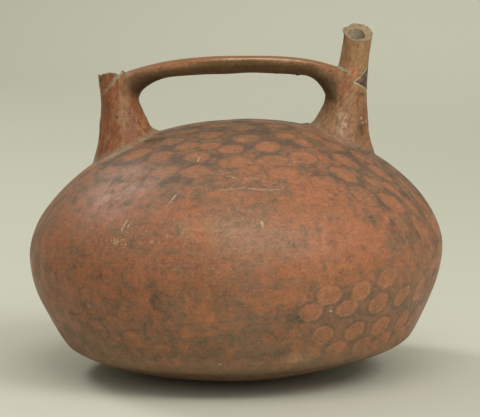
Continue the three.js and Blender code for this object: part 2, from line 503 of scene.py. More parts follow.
# Colours as linear red, green and blue
SLIP_RED = (0.34, 0.133, 0.062, 1)
SLIP_BROWN = (0.225, 0.124, 0.072, 1)
DOT_RED = (0.33, 0.142, 0.068, 1)
DOT_BROWN = (0.23, 0.125, 0.072, 1)
DOT_LOW = (0.365, 0.156, 0.079, 1)
DOT_RIM = (0.42, 0.24, 0.14, 1)
GROUND = (0.213, 0.116, 0.064, 1)
GROUND_DARK = (0.108, 0.075, 0.051, 1)
GROUND_LOW = (0.213, 0.125, 0.078, 1)
OUTLINE = (0.125, 0.09, 0.058, 1)
TAN = (0.36, 0.205, 0.11, 1)
GRIME = (0.195, 0.127, 0.076, 1)
SMUDGE = (0.083, 0.058, 0.047, 1)
NECK_RED = (0.23, 0.084, 0.035, 1)
NECK_OCHRE = (0.3, 0.17, 0.08, 1)
STRAP_TOP = (0.27, 0.122, 0.05, 1)
# painted shade: dark brown laid on the strap's downward faces
STRAP_UNDERSIDE_SHADE = (0.128, 0.084, 0.041, 1)
CREAM = (0.42, 0.34, 0.21, 1)
FRACTURE = (0.33, 0.255, 0.145, 1)
FRACTURE_DARK = (0.2, 0.13, 0.068, 1)
INSIDE = (0.3, 0.245, 0.15, 1)
# dark brown: painted shade in the strap's corners, soot and dark spots elsewhere
SOOT_AND_SHADE = (0.075, 0.044, 0.021, 1)
SPECK = (0.46, 0.3, 0.15, 1)
BARE = (0.5, 0.37, 0.22, 1)
SEAM = (0.3, 0.24, 0.155, 1)
FRESH = (0.4, 0.15, 0.065, 1)
PALE = (0.3, 0.255, 0.16, 1)
# pale tan: wear on the strap's edge and a painted glint
WORN_GLINT = (0.74, 0.54, 0.36, 1)
# painted highlight: greyish haze laid on the slip where the broad highlights fall
HAZE_HIGHLIGHT = (0.4, 0.335, 0.285, 1)
# painted highlight: pale colour laid on the glossy patches of the right spout
SHEEN_HIGHLIGHT = (0.56, 0.43, 0.3, 1)
INLAY = (0.07, 0.056, 0.043, 1)

# Finish of the clay: gloss, what changes the roughness of the burnish, and the fine relief, in metres
SPECULAR = 0.18
GRIME_ROUGHENS = 0.1
BARE_ROUGHENS = 0.4
GLOSS_SMOOTHS = -0.14
STRAP_ROUGHENS = 0.22
RELIEF = (("fine", 0.6), ("wiped", 0.6), ("grain", 0.3))
BUMP_STRENGTH = 0.5
BUMP_DISTANCE = 0.00012
SHARP_ANGLE = np.radians(50)

# Cloudy values by name: scale in clouds to a metre, detail, roughness
CLOUDS = {
    "clouds": (24, 4, 0.6),
    "broad": (60, 3, 0.5),
    "mottle": (110, 6, 0.65),
    "blotch": (230, 5, 0.65),
    "fine": (480, 5, 0.7),
    "grain": (1150, 2, 0.7),
}

# Streaks by name: the coordinates they follow, how those are stretched, scale, detail; one roughness for all
STREAKS = {
    "wiped": ("surface", (0.03, 0.45, 0), 1, 5),
    "lines": ("surface", (0.07, 1.2, 0), 1, 3),
    "upright": ("object", (1, 1, 0.07), 620, 4),
    "lengthwise": ("object", (0.05, 1, 1), 620, 4),
}
STREAK_ROUGHNESS = 0.7

# Masks by stored value: strengths of the clouds that are added, low and high value, share at each
MASKS = {
    "dull": ({"clouds": 1.0, "broad": 1.2, "mottle": 1.5, "blotch": 1.6, "wiped": 1.3}, -0.52, 0.56, 0, 1),
    "haze_highlight": ({}, 0, 1, 0, 0.5),
    "tan": ({"mottle": 1.2, "wiped": 0.8}, 0.1, 0.95, 0, 1),
    "dot_wear": ({"blotch": 2.0, "mottle": 1.2}, 0.2, 1.1, 0, 1),
    "grime": ({"mottle": 1.7, "blotch": 1.9, "wiped": 1.6}, 0.05, 1.15, 0, 1),
    "smudge": ({"fine": 3.0, "blotch": 1.6}, 0.35, 1.15, 0, 0.72),
    "speck": ({"fine": 3.4, "grain": 1.6}, 0.65, 1.2, 0, 0.8),
    "ochre": ({"mottle": 1.2, "blotch": 0.9, "streak": 1.8}, -0.35, 0.45, 0, 1),
    "fresh": ({"fine": 1.5, "streak": 0.4}, 0.2, 1.0, 0, 0.8),
    # facing: painted shade, darker as the skin faces further down
    "facing": ({"streak": 0.6}, 0.3, -0.5, 0, 1),
    "soot_and_shade": ({"blotch": 1.4, "streak": 2.0}, 0.1, 1.0, 0, 0.9),
    "pale": ({"fine": 1.6}, 0.2, 0.9, 0, 0.85),
    "spot": ({"fine": 1.6}, 0.2, 0.9, 0, 0.85),
    "inlay": ({"fine": 0.8}, 0.15, -0.25, 0, 1),
    "line": ({}, 0.45, 0.2, 0, 1),
}

# Patchiness by what is patchy: the cloudy value, its low and high value, share at each
PATCHINESS = {
    "ground": ("mottle", 0.42, 0.6, 0, 1),
    "scratch": ("fine", 0.3, 0.55, 0, 1),
    "edge": ("streak", 0.3, 0.6, 0.6, 0.9),
    "gloss_and_highlight": ("fine", 0.35, 0.65, 0, 1),
    "seam": ("mottle", 0.35, 0.6, 0.35, 0.85),
    "inlay": ("fine", 0.4, 0.65, 1.0, 0.45),
    "line": ("fine", 0.25, 0.5, 0.4, 0.9),
    "fracture": ("fine", 0.4, 0.65, 0, 1),
    "burnish": ("mottle", 0.35, 0.7, 0.38, 0.55),
}

# Painted dots: blur of their edges, wear of the paint; then growth and shares on the shoulder and low down
DOT_BLUR = {"blotch": 1.8, "fine": 2.2}
PAINT_WEAR = {"mottle": 2.4, "blotch": 1.4, "wiped": 1.6}
DOT_GROWTH = (-0.4, -0.6)
WEAR_SHARE = (1.0, 0.7)
HIDING_SHARE = (0.8, 0.66)

# Changes over the amount of paint: its cover, and the kept red; then over a dot's edge: kept red and ground
COVER = (0.15, 0.95)
KEPT_SHARE = (0.2, 0.8, 0, 0.6)
KEPT_EDGE = (0.6, -0.8)
GROUND_EDGE = (-1.1, 1.1)

# Pale rim inside a dot and dark outline round it: height of the middle, then how it fades away from there
RIM_PLACE = -0.75
RIM_FADE = (0.5, 0.05, 0, 0.3)
OUTLINE_PLACE = 0.5
OUTLINE_FADE = (0.95, 0.1, 0, 0.65)
OUTLINE_WEAR = 0.6
OUTLINE_COVER = (0.1, 0.9)

# Shares of whole layers, bends of the scratches and their edge, and the clouds that change the brightness
GRIME_SHARE = 0.85
# share of the pale painted highlight on the glossy patches
SHEEN_HIGHLIGHT_SHARE = 0.6
STRAP_SHARE = 0.7
# share of the painted shade on the strap's downward faces
UNDER_SHADE_SHARE = 0.88
BEND_ROUND = {"fine": 1.5}
BEND_DOWN = {"blotch": 3.0}
STROKE_EDGE = (1.0, 0.4)
NECK_SPECKLE = {"streak": 1.0, "blotch": 0.7}
SPECKLE = {"mottle": -0.42, "blotch": -0.36, "fine": 0.85, "grain": 0.95, "wiped": 0.35, "lines": 0.45}


def bezier(start, leave, arrive, end, t):
    """Cubic curve: four points weighted by (1-t)^3, 3t(1-t)^2, 3t^2(1-t) and t^3."""
    t = t[:, None]
    weights = ((1 - t) ** 3, 3 * t * (1 - t) ** 2, 3 * t * t * (1 - t), t ** 3)
    return sum(weight * np.array(point) for weight, point in zip(weights, (start, leave, arrive, end)))


def body_outline(inset=0.0):
    """Half outline, crown to base, as radius and height: cubic curves that meet at the widest ring and heel.

    An inset draws every stretch inwards by that distance and shrinks its fullness in proportion.
    """
    radius = BODY_RADIUS - inset
    shrink = radius / BODY_RADIUS
    crown = CROWN_HEIGHT - inset
    base = BASE_DEPTH + inset
    wall = np.array((np.sin(HEEL_SLOPE), np.cos(HEEL_SLOPE)))
    heel = np.array((HEEL_RADIUS, HEEL_HEIGHT)) + inset * np.array((-wall[1], wall[0]))
    underside = heel - UNDERSIDE_FULLNESS * shrink * wall
    widest = (radius, WIDEST_HEIGHT)
    shoulder = (radius, WIDEST_HEIGHT + SHOULDER_FULLNESS * shrink)
    side = (radius, WIDEST_HEIGHT - SIDE_FULLNESS * shrink)
    t = np.linspace(0, 1, OUTLINE_STEPS)
    dome = bezier((0, crown), (CROWN_FULLNESS * shrink, crown), shoulder, widest, t)
    flank = bezier(widest, side, heel + HEEL_ROUNDING * wall, heel, t)
    below = bezier(heel, underside, (BASE_FULLNESS * shrink, base), (0, base), t)
    return np.concatenate([dome, flank[1:], below[1:]])


def arc_lengths(outline):
    """Distance along an outline from its first point."""
    return np.concatenate([[0], np.cumsum(np.hypot(*np.diff(outline, axis=0).T))])


def leant(points, lean=LEAN):
    """Points turned by the lean about the middle of the widest ring, so that the right side rises."""
    x, y, z = points[..., 0], points[..., 1], points[..., 2] - WIDEST_HEIGHT
    turned_x = np.cos(lean) * x - np.sin(lean) * z
    turned_z = np.sin(lean) * x + np.cos(lean) * z
    return np.stack([turned_x, y, turned_z + WIDEST_HEIGHT], -1)


def body_place(points):
    """Angle about the body's axis, arc length from the crown and height above the smooth skin."""
    upright = leant(points, -LEAN)
    radius = np.hypot(upright[:, 0], upright[:, 1])
    rise = upright[:, 2] - WIDEST_HEIGHT
    outline = body_outline()
    outline_rise = outline[:, 1] - WIDEST_HEIGHT
    bearings = np.arctan2(outline[:, 0], outline_rise)
    bearing = np.arctan2(radius, rise)
    arc = np.interp(bearing, bearings, arc_lengths(outline))
    above = np.hypot(radius, rise) - np.interp(bearing, bearings, np.hypot(outline[:, 0], outline_rise))
    return np.arctan2(upright[:, 1], upright[:, 0]), arc, above


def ripple(points, wavelength, seed):
    """Smooth unevenness of about unit size: plane waves near one wavelength, added in seeded directions."""
    rng = np.random.default_rng(seed)
    directions = rng.normal(size=(WAVES, 3))
    directions /= np.linalg.norm(directions, axis=1, keepdims=True)
    numbers = 2 * np.pi / (wavelength * rng.uniform(*WAVE_SPREAD, WAVES))
    phases = rng.uniform(0, 2 * np.pi, WAVES)
    angles = points @ (directions * numbers[:, None]).T + phases
    return np.sin(angles).sum(-1) / np.sqrt(WAVES)


def uneven(points, ripples, seed=0):
    """Sum of ripples, each of its own size, wavelength and seed."""
    return sum(size * ripple(points, wavelength, own + seed) for size, wavelength, own in ripples)


def angles_round(sides):
    """Equal steps of angle round a circle."""
    return np.linspace(0, 2 * np.pi, sides, endpoint=False)


def closed_tube(name, rings, first_pole, last_pole):
    """Object made of rings of points: quads join neighbouring rings, a fan to a pole closes each end.

    The faces are turned over if the volume they enclose comes out negative.
    """
    count, sides = rings.shape[:2]
    points = np.concatenate([rings.reshape(-1, 3), [first_pole, last_pole]])
    start = np.arange(count - 1)[:, None] * sides
    here = np.arange(sides)[None, :]
    after = (here + 1) % sides
    quads = np.stack([start + here, start + after, start + sides + after, start + sides + here], -1)
    quads = quads.reshape(-1, 4)
    last = (count - 1) * sides
    first_fan = np.stack([np.full(sides, count * sides), after[0], here[0]], -1)
    last_fan = np.stack([np.full(sides, count * sides + 1), last + here[0], last + after[0]], -1)
    triangles = np.concatenate([quads[:, [0, 1, 2]], quads[:, [0, 2, 3]], first_fan, last_fan])
    a, b, c = (points[triangles[:, k]] for k in range(3))
    if np.einsum("ij,ij->i", a, np.cross(b, c)).sum() < 0:
        quads, first_fan, last_fan = quads[:, ::-1], first_fan[:, ::-1], last_fan[:, ::-1]
    mesh = bpy.data.meshes.new(name)
    mesh.from_pydata((points * MM).tolist(), [], quads.tolist() + first_fan.tolist() + last_fan.tolist())
    return placed(name, mesh)


def placed(name, data):
    """Object that shows a mesh, a light or a camera, at the origin."""
    made = bpy.data.objects.new(name, data)
    bpy.context.scene.collection.objects.link(made)
    return made


def turned_body(name, inset, grid, unevenness):
    """Body surface: the outline at equal steps of arc length, turned about the axis, uneven and leant."""
    outline = body_outline(inset)
    lengths = arc_lengths(outline)
    steps, sides = grid
    along = np.linspace(0, lengths[-1], steps + 2)
    radius = np.interp(along, lengths, outline[:, 0])[:, None]
    height = np.interp(along, lengths, outline[:, 1])[:, None]
    angle = angles_round(sides)[None, :]
    points = np.stack([radius * np.cos(angle), radius * np.sin(angle), height + 0 * angle], -1)
    outward = points - np.array((0, 0, WIDEST_HEIGHT))
    outward /= np.linalg.norm(outward, axis=-1, keepdims=True)
    points = leant(points + outward * unevenness(points)[..., None])
    return closed_tube(name, points[1:-1], points[0, 0], points[-1, 0])


def smooth_through(stations, steps):
    """Values at equal steps along a Catmull-Rom curve through the stations."""
    stations = np.array(stations, float)
    ends = np.concatenate([[2 * stations[0] - stations[1]], stations, [2 * stations[-1] - stations[-2]]])
    place = np.linspace(0, len(stations) - 1, steps)
    k = np.minimum(place.astype(int), len(stations) - 2)
    t = (place - k)[:, None]
    p0, p1, p2, p3 = ends[k], ends[k + 1], ends[k + 2], ends[k + 3]
    return 0.5 * (2 * p1 + (p2 - p0) * t + (2 * p0 - 5 * p1 + 4 * p2 - p3) * t ** 2
                  + (3 * p1 - p0 - 3 * p2 + p3) * t ** 3)


def tube(name, stations, grid, relief, forward=0.0):
    """Round tube: circles whose centre and radius follow smooth curves, the radius raised by a relief."""
    steps, sides = grid
    track = smooth_through(stations, steps)
    centre, radius, height = (column[:, None] for column in track.T)
    angle = angles_round(sides)[None, :]
    raised = radius + relief(centre, radius, angle, height)
    y = raised * np.sin(angle) - forward
    rings = np.stack([centre + raised * np.cos(angle), y, height + 0 * angle], -1)
    first = (track[0, 0], -forward, track[0, 2])
    last = (track[-1, 0], -forward, track[-1, 2])
    return closed_tube(name, rings, first, last)


def tube_place(points, stations):
    """Angle about a spout's axis, height above its smooth skin and offset along X as a share of radius."""
    track = smooth_through(stations, TRACK_STEPS)
    centre = np.interp(points[:, 2], track[:, 2], track[:, 0])
    radius = np.interp(points[:, 2], track[:, 2], track[:, 1])
    across = points[:, 0] - centre
    return np.arctan2(points[:, 1], across), np.hypot(across, points[:, 1]) - radius, across / radius


def arch(crest, left_drop, right_drop, x):
    """Height of an arch that falls on each side by a power of the distance from its crest."""
    away = x - crest[0]
    falls = [fall * (np.abs(away) / span) ** power for span, fall, power in (left_drop, right_drop)]
    return crest[1] - np.where(away < 0, *falls)


def fillet_fall(fillet, x):
    """Fall that grows with the cube of the distance past a start, up to a limit."""
    start, bend = fillet
    past = np.maximum((x - start) * np.sign(start), 0)
    return FILLET_FALL * np.tanh(bend * past ** 3 / FILLET_FALL)


def smooth_step(value, low, high):
    """Rises smoothly from 0 at low to 1 at high."""
    t = np.clip((value - low) / (high - low), 0, 1)
    return t * t * (3 - 2 * t)


def strap_section(x):
    """Half width of the strap at a place along X, and the heights of its top, its edge and its soffit."""
    top = arch(STRAP_CREST, LEFT_DROP, RIGHT_DROP, x)
    soffit = arch(SOFFIT_CREST, SOFFIT_LEFT_DROP, SOFFIT_RIGHT_DROP, x)
    soffit = soffit - fillet_fall(LEFT_FILLET, x) - fillet_fall(RIGHT_FILLET, x)
    from_end = np.minimum(x - STRAP_LEFT, STRAP_RIGHT - x)
    share = smooth_step(from_end, 0, STRAP_NARROWING)
    half_width = STRAP_END_HALF_WIDTH + (STRAP_HALF_WIDTH - STRAP_END_HALF_WIDTH) * share
    leftness = smooth_step(-x, 0, EDGE_RUN)
    depth = EDGE_DEPTH[0] + (EDGE_DEPTH[1] - EDGE_DEPTH[0]) * leftness
    return half_width, top, top - depth * (top - soffit), soffit


def along_strap(points):
    """X of each point, kept between the strap's ends."""
    return np.clip(points[:, 0], STRAP_LEFT, STRAP_RIGHT)


def strap(name):
    """Strap surface: a flat-topped, round-bellied section carried along X, closer at both ends."""
    steps, sides = STRAP_GRID
    middle = (STRAP_LEFT + STRAP_RIGHT) / 2
    half = (STRAP_RIGHT - STRAP_LEFT) / 2
    x = (middle + half * np.sin(np.linspace(-np.pi / 2, np.pi / 2, steps + 2)))[:, None]
    half_width, top, edge, soffit = strap_section(x)
    angle = angles_round(sides)[None, :]
    upper = np.sin(angle) >= 0
    power = np.where(upper, 2 / TOP_SQUARENESS, 2 / UNDER_SQUARENESS)
    across = np.sign(np.cos(angle)) * np.abs(np.cos(angle)) ** power
    up = np.abs(np.sin(angle)) ** power
    height = edge + np.where(upper, (top - edge) * up, (soffit - edge) * up)
    rings = np.stack([x + 0 * angle, half_width * across, height], -1)
    core = np.stack([x + 0 * angle, 0 * height, edge + 0 * angle], -1)
    rings = core + (rings - core) * (1 + uneven(rings, STRAP_RIPPLES)[..., None])
    for drip_x, drip_y, half_size, depth in DRIPS:
        away = ((rings[..., 0] - drip_x) ** 2 + (rings[..., 1] - drip_y) ** 2) / half_size ** 2
        rings[..., 2] -= np.where(upper, 0, depth * np.exp(-away))
    return closed_tube(name, rings[1:-1], core[0, 0], core[-1, 0])


def body_height(points):
    """Height above the body's skin."""
    return body_place(points)[2]


def spout_height(points):
    """Height above the skin of the nearer spout."""
    left = tube_place(points, BROKEN_SPOUT)[1]
    right = tube_place(points, POURING_SPOUT)[1]
    return np.minimum(left, right)


def strap_height(points):
    """Height above the strap's skin, from how much its section has to swell to reach a point."""
    x = along_strap(points)
    half_width, top, edge, soffit = strap_section(x)
    upper = points[:, 2] >= edge
    power = np.where(upper, TOP_SQUARENESS, UNDER_SQUARENESS)
    half_height = np.where(upper, top - edge, edge - soffit)
    across = np.abs(points[:, 1]) / half_width
    up = np.abs(points[:, 2] - edge) / half_height
    swelling = np.maximum((across ** power + up ** power) ** (1 / power), LEAST_SWELLING)
    reach = np.hypot(points[:, 1], points[:, 2] - edge)
    beyond = np.abs(points[:, 0] - x)
    return np.hypot(reach * (1 - 1 / swelling), beyond) * np.where(swelling > 1, 1, -1) + beyond


def gradient(field, points):
    """Slope of a field at each point, from differences over a short span on both sides."""
    shifts = SLOPE_SPAN * np.eye(3)
    rises = [field(points + shift) - field(points - shift) for shift in shifts]
    return np.stack(rises, -1) / (2 * SLOPE_SPAN)


def smooth_least(a, b, reach):
    """Least of two heights, drawn down by up to a quarter of the reach where they are alike."""
    share = np.clip(1 - np.abs(a - b) / reach, 0, 1)
    return np.minimum(a, b) - share ** 2 * reach / 4


def join_reaches(points, slopes):
    """How far the spout roots and the strap's ends are smoothed over at each point.

    Surfaces that run side by side need no smoothing, so the strap's reach shrinks as their slopes agree.
    """
    left = points[:, 0] < 0
    offsets = [tube_place(points, spout)[2] for spout in (BROKEN_SPOUT, POURING_SPOUT)]
    inward = -np.sign(points[:, 0]) * np.where(left, *offsets)
    root = ROOT_REACH[0] + (ROOT_REACH[1] - ROOT_REACH[0]) * smooth_step(inward, *ROOT_CHANGE)
    agree = np.clip((slopes[1] * slopes[2]).sum(-1), 0, 1)
    edge = strap_section(along_strap(points))[2]
    above = smooth_step(points[:, 2] - edge, *EDGE_CHANGE)
    top_reach = np.where(left, LEFT_TOP_REACH, RIGHT_TOP_REACH)
    reach = STRAP_REACH + (top_reach - STRAP_REACH) * above
    reach = reach * (1 - agree) * smooth_step(inward, *STRAP_CHANGE)
    return root, np.maximum(reach, LEAST_REACH)


def smooth_joins(points, edges):
    """Points near the joins moved onto one smooth skin.

    The skin is the smooth least of the heights above the body, the spouts and the strap. Each point keeps its
    own unevenness, and points slide towards the middle of their neighbours between the moves.
    """
    fields = (body_height, spout_height, strap_height)
    slopes = [gradient(field, points) for field in fields]
    scales = [np.linalg.norm(slope, axis=-1) for slope in slopes]
    slopes = [slope / scale[:, None] for slope, scale in zip(slopes, scales)]
    root_reach, strap_reach = join_reaches(points, slopes)

    def skin(places, chosen):
        body, spouts, strap_above = (field(places) / scale[chosen] for field, scale in zip(fields, scales))
        return smooth_least(smooth_least(body, spouts, root_reach[chosen]), strap_above, strap_reach[chosen])

    everything = np.arange(len(points))
    own_height = np.minimum.reduce([field(points) / scale for field, scale in zip(fields, scales)])
    chosen = everything[skin(points, everything) < own_height - LEAST_MOVE]
    degree = np.bincount(edges.ravel(), minlength=len(points))
    moved = points.copy()
    for _ in range(BLEND_STEPS):
        places = moved[chosen]
        slope = gradient(lambda where: skin(where, chosen), places)
        steep = np.maximum((slope ** 2).sum(-1), LEAST_STEEPNESS)
        short = (skin(places, chosen) - own_height[chosen]) / steep
        places = places - short[:, None] * slope
        moved[chosen] = places
        sums = np.zeros_like(moved)
        np.add.at(sums, edges[:, 0], moved[edges[:, 1]])
        np.add.at(sums, edges[:, 1], moved[edges[:, 0]])
        slide = sums[chosen] / degree[chosen][:, None] - places
        normal = slope / np.sqrt(steep)[:, None]
        slide -= (slide * normal).sum(-1)[:, None] * normal
        moved[chosen] = places + SLIDE_SHARE * slide
    return moved


def broken_rim(x, y):
    """Height of the break across the left spout: its outline against the light, with a rough grain."""
    points = np.stack([x, y, 0 * x], -1)
    slope = BROKEN_RIM_SLOPE * (y - BROKEN_RIM_FRONT)
    return np.interp(x, *np.transpose(BROKEN_RIM)) - slope + uneven(points, BROKEN_RIM_RIPPLES)


def pouring_rim(x, y):
    """Height of the break across the right spout: a slope down to the front, with a rough grain."""
    points = np.stack([x, y, 0 * x], -1)
    slope = POURING_RIM_SLOPE[0] * (x - POURING_PLUG[0]) + POURING_RIM_SLOPE[1] * y
    return POURING_RIM_HEIGHT + slope + uneven(points, POURING_RIM_RIPPLES)


def plug(name, place, rim):
    """Plug cut from a spout: a disc of rings whose heights follow the break, closed by a flat top."""
    centre, radius = place
    rings, sides = PLUG_GRID
    distance = np.linspace(0, radius, rings + 1)[1:, None]
    angle = angles_round(sides)[None, :]
    x = centre + distance * np.cos(angle)
    y = distance * np.sin(angle)
    under = np.stack([x, y, rim(x, y)], -1)
    top = under[-1:].copy()
    top[..., 2] = PLUG_TOP
    middle = float(rim(np.array(centre), np.array(0.0)))
    return closed_tube(name, np.concatenate([under, top]), (centre, 0, middle), (centre, 0, PLUG_TOP))


def ground_block(name):
    """Block below the level that the vessel stands on: a short cylinder under the whole body."""
    angle = angles_round(GROUND_SIDES)[None, :]
    height = np.array((GROUND_BOTTOM, 0.0))[:, None]
    circle = BODY_RADIUS * np.cos(angle), BODY_RADIUS * np.sin(angle)
    rings = np.stack(np.broadcast_arrays(*circle, height), -1)
    return closed_tube(name, rings, (0, 0, GROUND_BOTTOM), (0, 0, 0))


def body_unevenness(points):
    """Slow hand-made swells of the body, with the listed ones and a crown that is fuller on the right."""
    x, y, z = points[..., 0], points[..., 1], points[..., 2]
    angle = np.arctan2(y, x)
    level, tilt, run = CROWN_SWELL
    raised = uneven(points, BODY_RIPPLES)
    raised = raised + (level + tilt * np.tanh(x / run)) * smooth_step(z, *CROWN_HEIGHTS)
    for turn, half_turn, height, half_height, out in SWELLS:
        around = turned_apart(angle, np.radians(turn)) / np.radians(half_turn)
        raised = raised + out * np.exp(-around ** 2 - ((z - height) / half_height) ** 2)
    return raised


def cavity_unevenness(points):
    """Finger-smoothed inside wall."""
    return uneven(points, CAVITY_RIPPLES)


def triangle_place(angle, height):
    """Distance from the incised triangle's lines, and height above its field, less than 0 inside it."""
    corners = np.radians([corner[0] for corner in TRIANGLE]) * TRIANGLE_RADIUS
    heights = np.array([corner[1] for corner in TRIANGLE])
    u, v = np.broadcast_arrays(angle * TRIANGLE_RADIUS, height)
    lines, sides = [], []
    for k in range(3):
        n = (k + 1) % 3
        along = np.array((corners[n] - corners[k], heights[n] - heights[k]))
        length = np.hypot(*along)
        along /= length
        du, dv = u - corners[k], v - heights[k]
        share = np.clip(du * along[0] + dv * along[1], 0, length)
        lines.append(np.hypot(du - share * along[0], dv - share * along[1]))
        sides.append(du * along[1] - dv * along[0])
    return np.minimum.reduce(lines), -np.minimum.reduce(sides)


def spout_relief(seed, incised=False):
    """Relief of a hand-rolled tube, for one seed, with the triangle's grooves and the lip if incised."""
    def relief(centre, radius, angle, height):
        points = np.stack([centre + radius * np.cos(angle), radius * np.sin(angle), height + 0 * angle], -1)
        raised = uneven(points, TUBE_RIPPLES, seed)
        if incised:
            line = triangle_place(turned_apart(angle, 0), height)[0]
            raised = raised - GROOVE_DEPTH * np.clip(1 - (line / GROOVE_HALF_WIDTH) ** 2, 0, 1)
            at, level, half_turn, half_height, out = RIM_LIP
            away = ((angle - at) / half_turn) ** 2 + ((height - level) / half_height) ** 2
            raised = raised + out * np.exp(-away)
        return raised
    return relief


def carved(base, operation, others):
    """Mesh of the base after the others are joined to it or cut out of it; the objects go."""
    for other in others:
        modifier = base.modifiers.new(other.name, "BOOLEAN")
        modifier.operation = operation
        modifier.solver = "MANIFOLD"
        modifier.object = other
    depsgraph = bpy.context.evaluated_depsgraph_get()
    mesh = bpy.data.meshes.new_from_object(base.evaluated_get(depsgraph))
    for used in [base, *others]:
        bpy.data.objects.remove(used)
    return mesh


def triangulated(mesh):
    """The mesh with every face cut into triangles."""
    work = bmesh.new()
    work.from_mesh(mesh)
    bmesh.ops.triangulate(work, faces=work.faces)
    work.to_mesh(mesh)
    work.free()
    return mesh


def positions(mesh):
    """Positions of the mesh's points in millimetres."""
    flat = np.empty(len(mesh.vertices) * 3)
    mesh.vertices.foreach_get("co", flat)
    return flat.reshape(-1, 3) / MM


def vessel_mesh():
    """The whole vessel as one closed mesh: solids joined, joins smoothed, hollows and breaks cut out."""
    body = turned_body("body", 0.0, BODY_GRID, body_unevenness)
    added = [
        tube("broken_spout", BROKEN_SPOUT, BROKEN_SPOUT_GRID, spout_relief(BROKEN_SPOUT_SEED)),
        tube("pouring_spout", POURING_SPOUT, POURING_SPOUT_GRID,
             spout_relief(POURING_SPOUT_SEED, incised=True)),
        strap("strap"),
    ]
    whole = triangulated(carved(body, "UNION", added))
    edges = np.empty(len(whole.edges) * 2, int)
    whole.edges.foreach_get("vertices", edges)
    smooth = smooth_joins(positions(whole), edges.reshape(-1, 2))
    whole.vertices.foreach_set("co", (smooth * MM).ravel())
    removed = [
        turned_body("cavity", WALL, CAVITY_GRID, cavity_unevenness),
        tube("broken_bore", BROKEN_BORE, BORE_GRID, spout_relief(BROKEN_BORE_SEED)),
        tube("pouring_bore", POURING_BORE, BORE_GRID, spout_relief(POURING_BORE_SEED), BORE_FORWARD),
        plug("broken_plug", BROKEN_PLUG, broken_rim),
        plug("pouring_plug", POURING_PLUG, pouring_rim),
        ground_block("ground"),
    ]
    return triangulated(carved(placed("whole", whole), "DIFFERENCE", removed))


def ring_radius(arc):
    """Radius of the body at an arc length from the crown."""
    outline = body_outline()
    return np.interp(arc, arc_lengths(outline), outline[:, 0])


def turned_apart(angle, other):
    """Turn from one angle to another, the short way round."""
    return (angle - other + np.pi) % (2 * np.pi) - np.pi


def dot_places():
    """Angle and arc length of every painted dot: the listed ones, then staggered rows where there is room."""
    listed = np.array([(np.radians(turn), level) for level, turns in DOT_LEVELS for turn in turns])
    rows = []
    for k, level in enumerate(np.arange(ROW_FIRST, ROW_LAST, ROW_SPACING)):
        count = max(int(round(2 * np.pi * ring_radius(level) / DOT_PITCH)), 1)
        turns = 2 * np.pi * (np.arange(count) + k % 2 / 2) / count
        rows.append(np.column_stack([turns, np.full(count, level)]))
    rows = np.concatenate(rows)
    across = turned_apart(rows[:, None, 0], listed[None, :, 0]) * ring_radius(rows[:, 1])[:, None]
    room = np.hypot(across, rows[:, None, 1] - listed[None, :, 1]).min(1)
    return np.concatenate([listed, rows[room > DOT_ROOM]])


def slanted(across, down, slant):
    """Offsets along and over the long axis of a slanted dot."""
    along = across * np.cos(slant) + down * np.sin(slant)
    over = down * np.cos(slant) - across * np.sin(slant)
    return along, over


def dot_shapes(turns, levels):
    """Half width, half height and slant of every dot, with seeded changes; they shrink before they touch."""
    rng = np.random.default_rng(DOT_SEED)
    half_width = np.interp(levels, *DOT_HALF_WIDTH) * rng.uniform(*DOT_CHANGE, len(turns))
    half_height = np.interp(levels, *DOT_HALF_HEIGHT) * rng.uniform(*DOT_CHANGE, len(turns))
    above = levels < SLANT_LEVEL
    rightwards = smooth_step(np.degrees(turns), *SLANT_FROM) * (turns < 0)
    leftwards = smooth_step(np.degrees(turns), *LEFT_SLANT_FROM) * above
    below_slant = SLANT_BELOW * np.clip((SLANT_LEVEL - levels) / SLANT_RUN, -1, 0)
    slant = rightwards * np.where(above, SLANT_ABOVE, below_slant) - LEFT_SLANT * leftwards
    slant = slant + rng.normal(0, DOT_TILT, len(turns))
    stretch = 1 + SLANT_STRETCH * rightwards * smooth_step(levels, *STRETCHED_FROM) * above
    half_width, half_height = half_width * stretch, half_height / stretch
    across = turned_apart(turns[None, :], turns[:, None]) * ring_radius(levels)[:, None]
    along, over = slanted(across, levels[None, :] - levels[:, None], slant[:, None])
    apart = np.hypot(along / half_width[:, None], over / half_height[:, None]) + FAR * np.eye(len(turns))
    shrink = np.minimum(apart.min(1) / (2 * DOT_GAP), 1)
    return half_width * shrink, half_height * shrink, slant


def dot_height(angle, arc):
    """Distance outside the nearest painted oval, less than 0 inside it, and that dot's wear."""
    turns, levels = dot_places().T
    nearest = np.full(len(arc), FAR)
    wear = np.zeros(len(arc))
    radius = ring_radius(arc)
    worn = np.random.default_rng(DOT_WEAR_SEED).uniform(0, 1, len(turns))
    dots = zip(turns, levels, *dot_shapes(turns, levels), worn)
    for turn, level, half_width, half_height, slant, how_worn in dots:
        along, over = slanted(turned_apart(angle, turn) * radius, arc - level, slant)
        outside = (np.hypot(along / half_width, over / half_height) - 1) * half_height
        wear = np.where(outside < nearest, how_worn, wear)
        nearest = np.minimum(nearest, outside)
    return nearest, wear


def patches(listed, angle, arc):
    """Sum of soft oval patches on the body, each falling away as exp(-(distance / half size)^2)."""
    radius = ring_radius(arc)
    total = np.zeros(len(arc))
    for centre, place, half_width, half_height, strength in listed:
        across = turned_apart(angle, np.radians(centre)) * radius
        total += strength * np.exp(-(across / half_width) ** 2 - ((arc - place) / half_height) ** 2)
    return total


def front_patches(listed, points):
    """Sum of soft oval patches on the front of the spouts and the strap, seen from the front."""
    total = np.zeros(len(points))
    for x, z, half_width, half_height, strength in listed:
        away = ((points[:, 0] - x) / half_width) ** 2 + ((points[:, 2] - z) / half_height) ** 2
        total += strength * np.exp(-away)
    return total * smooth_step(-points[:, 1], *FRONT_FADE)


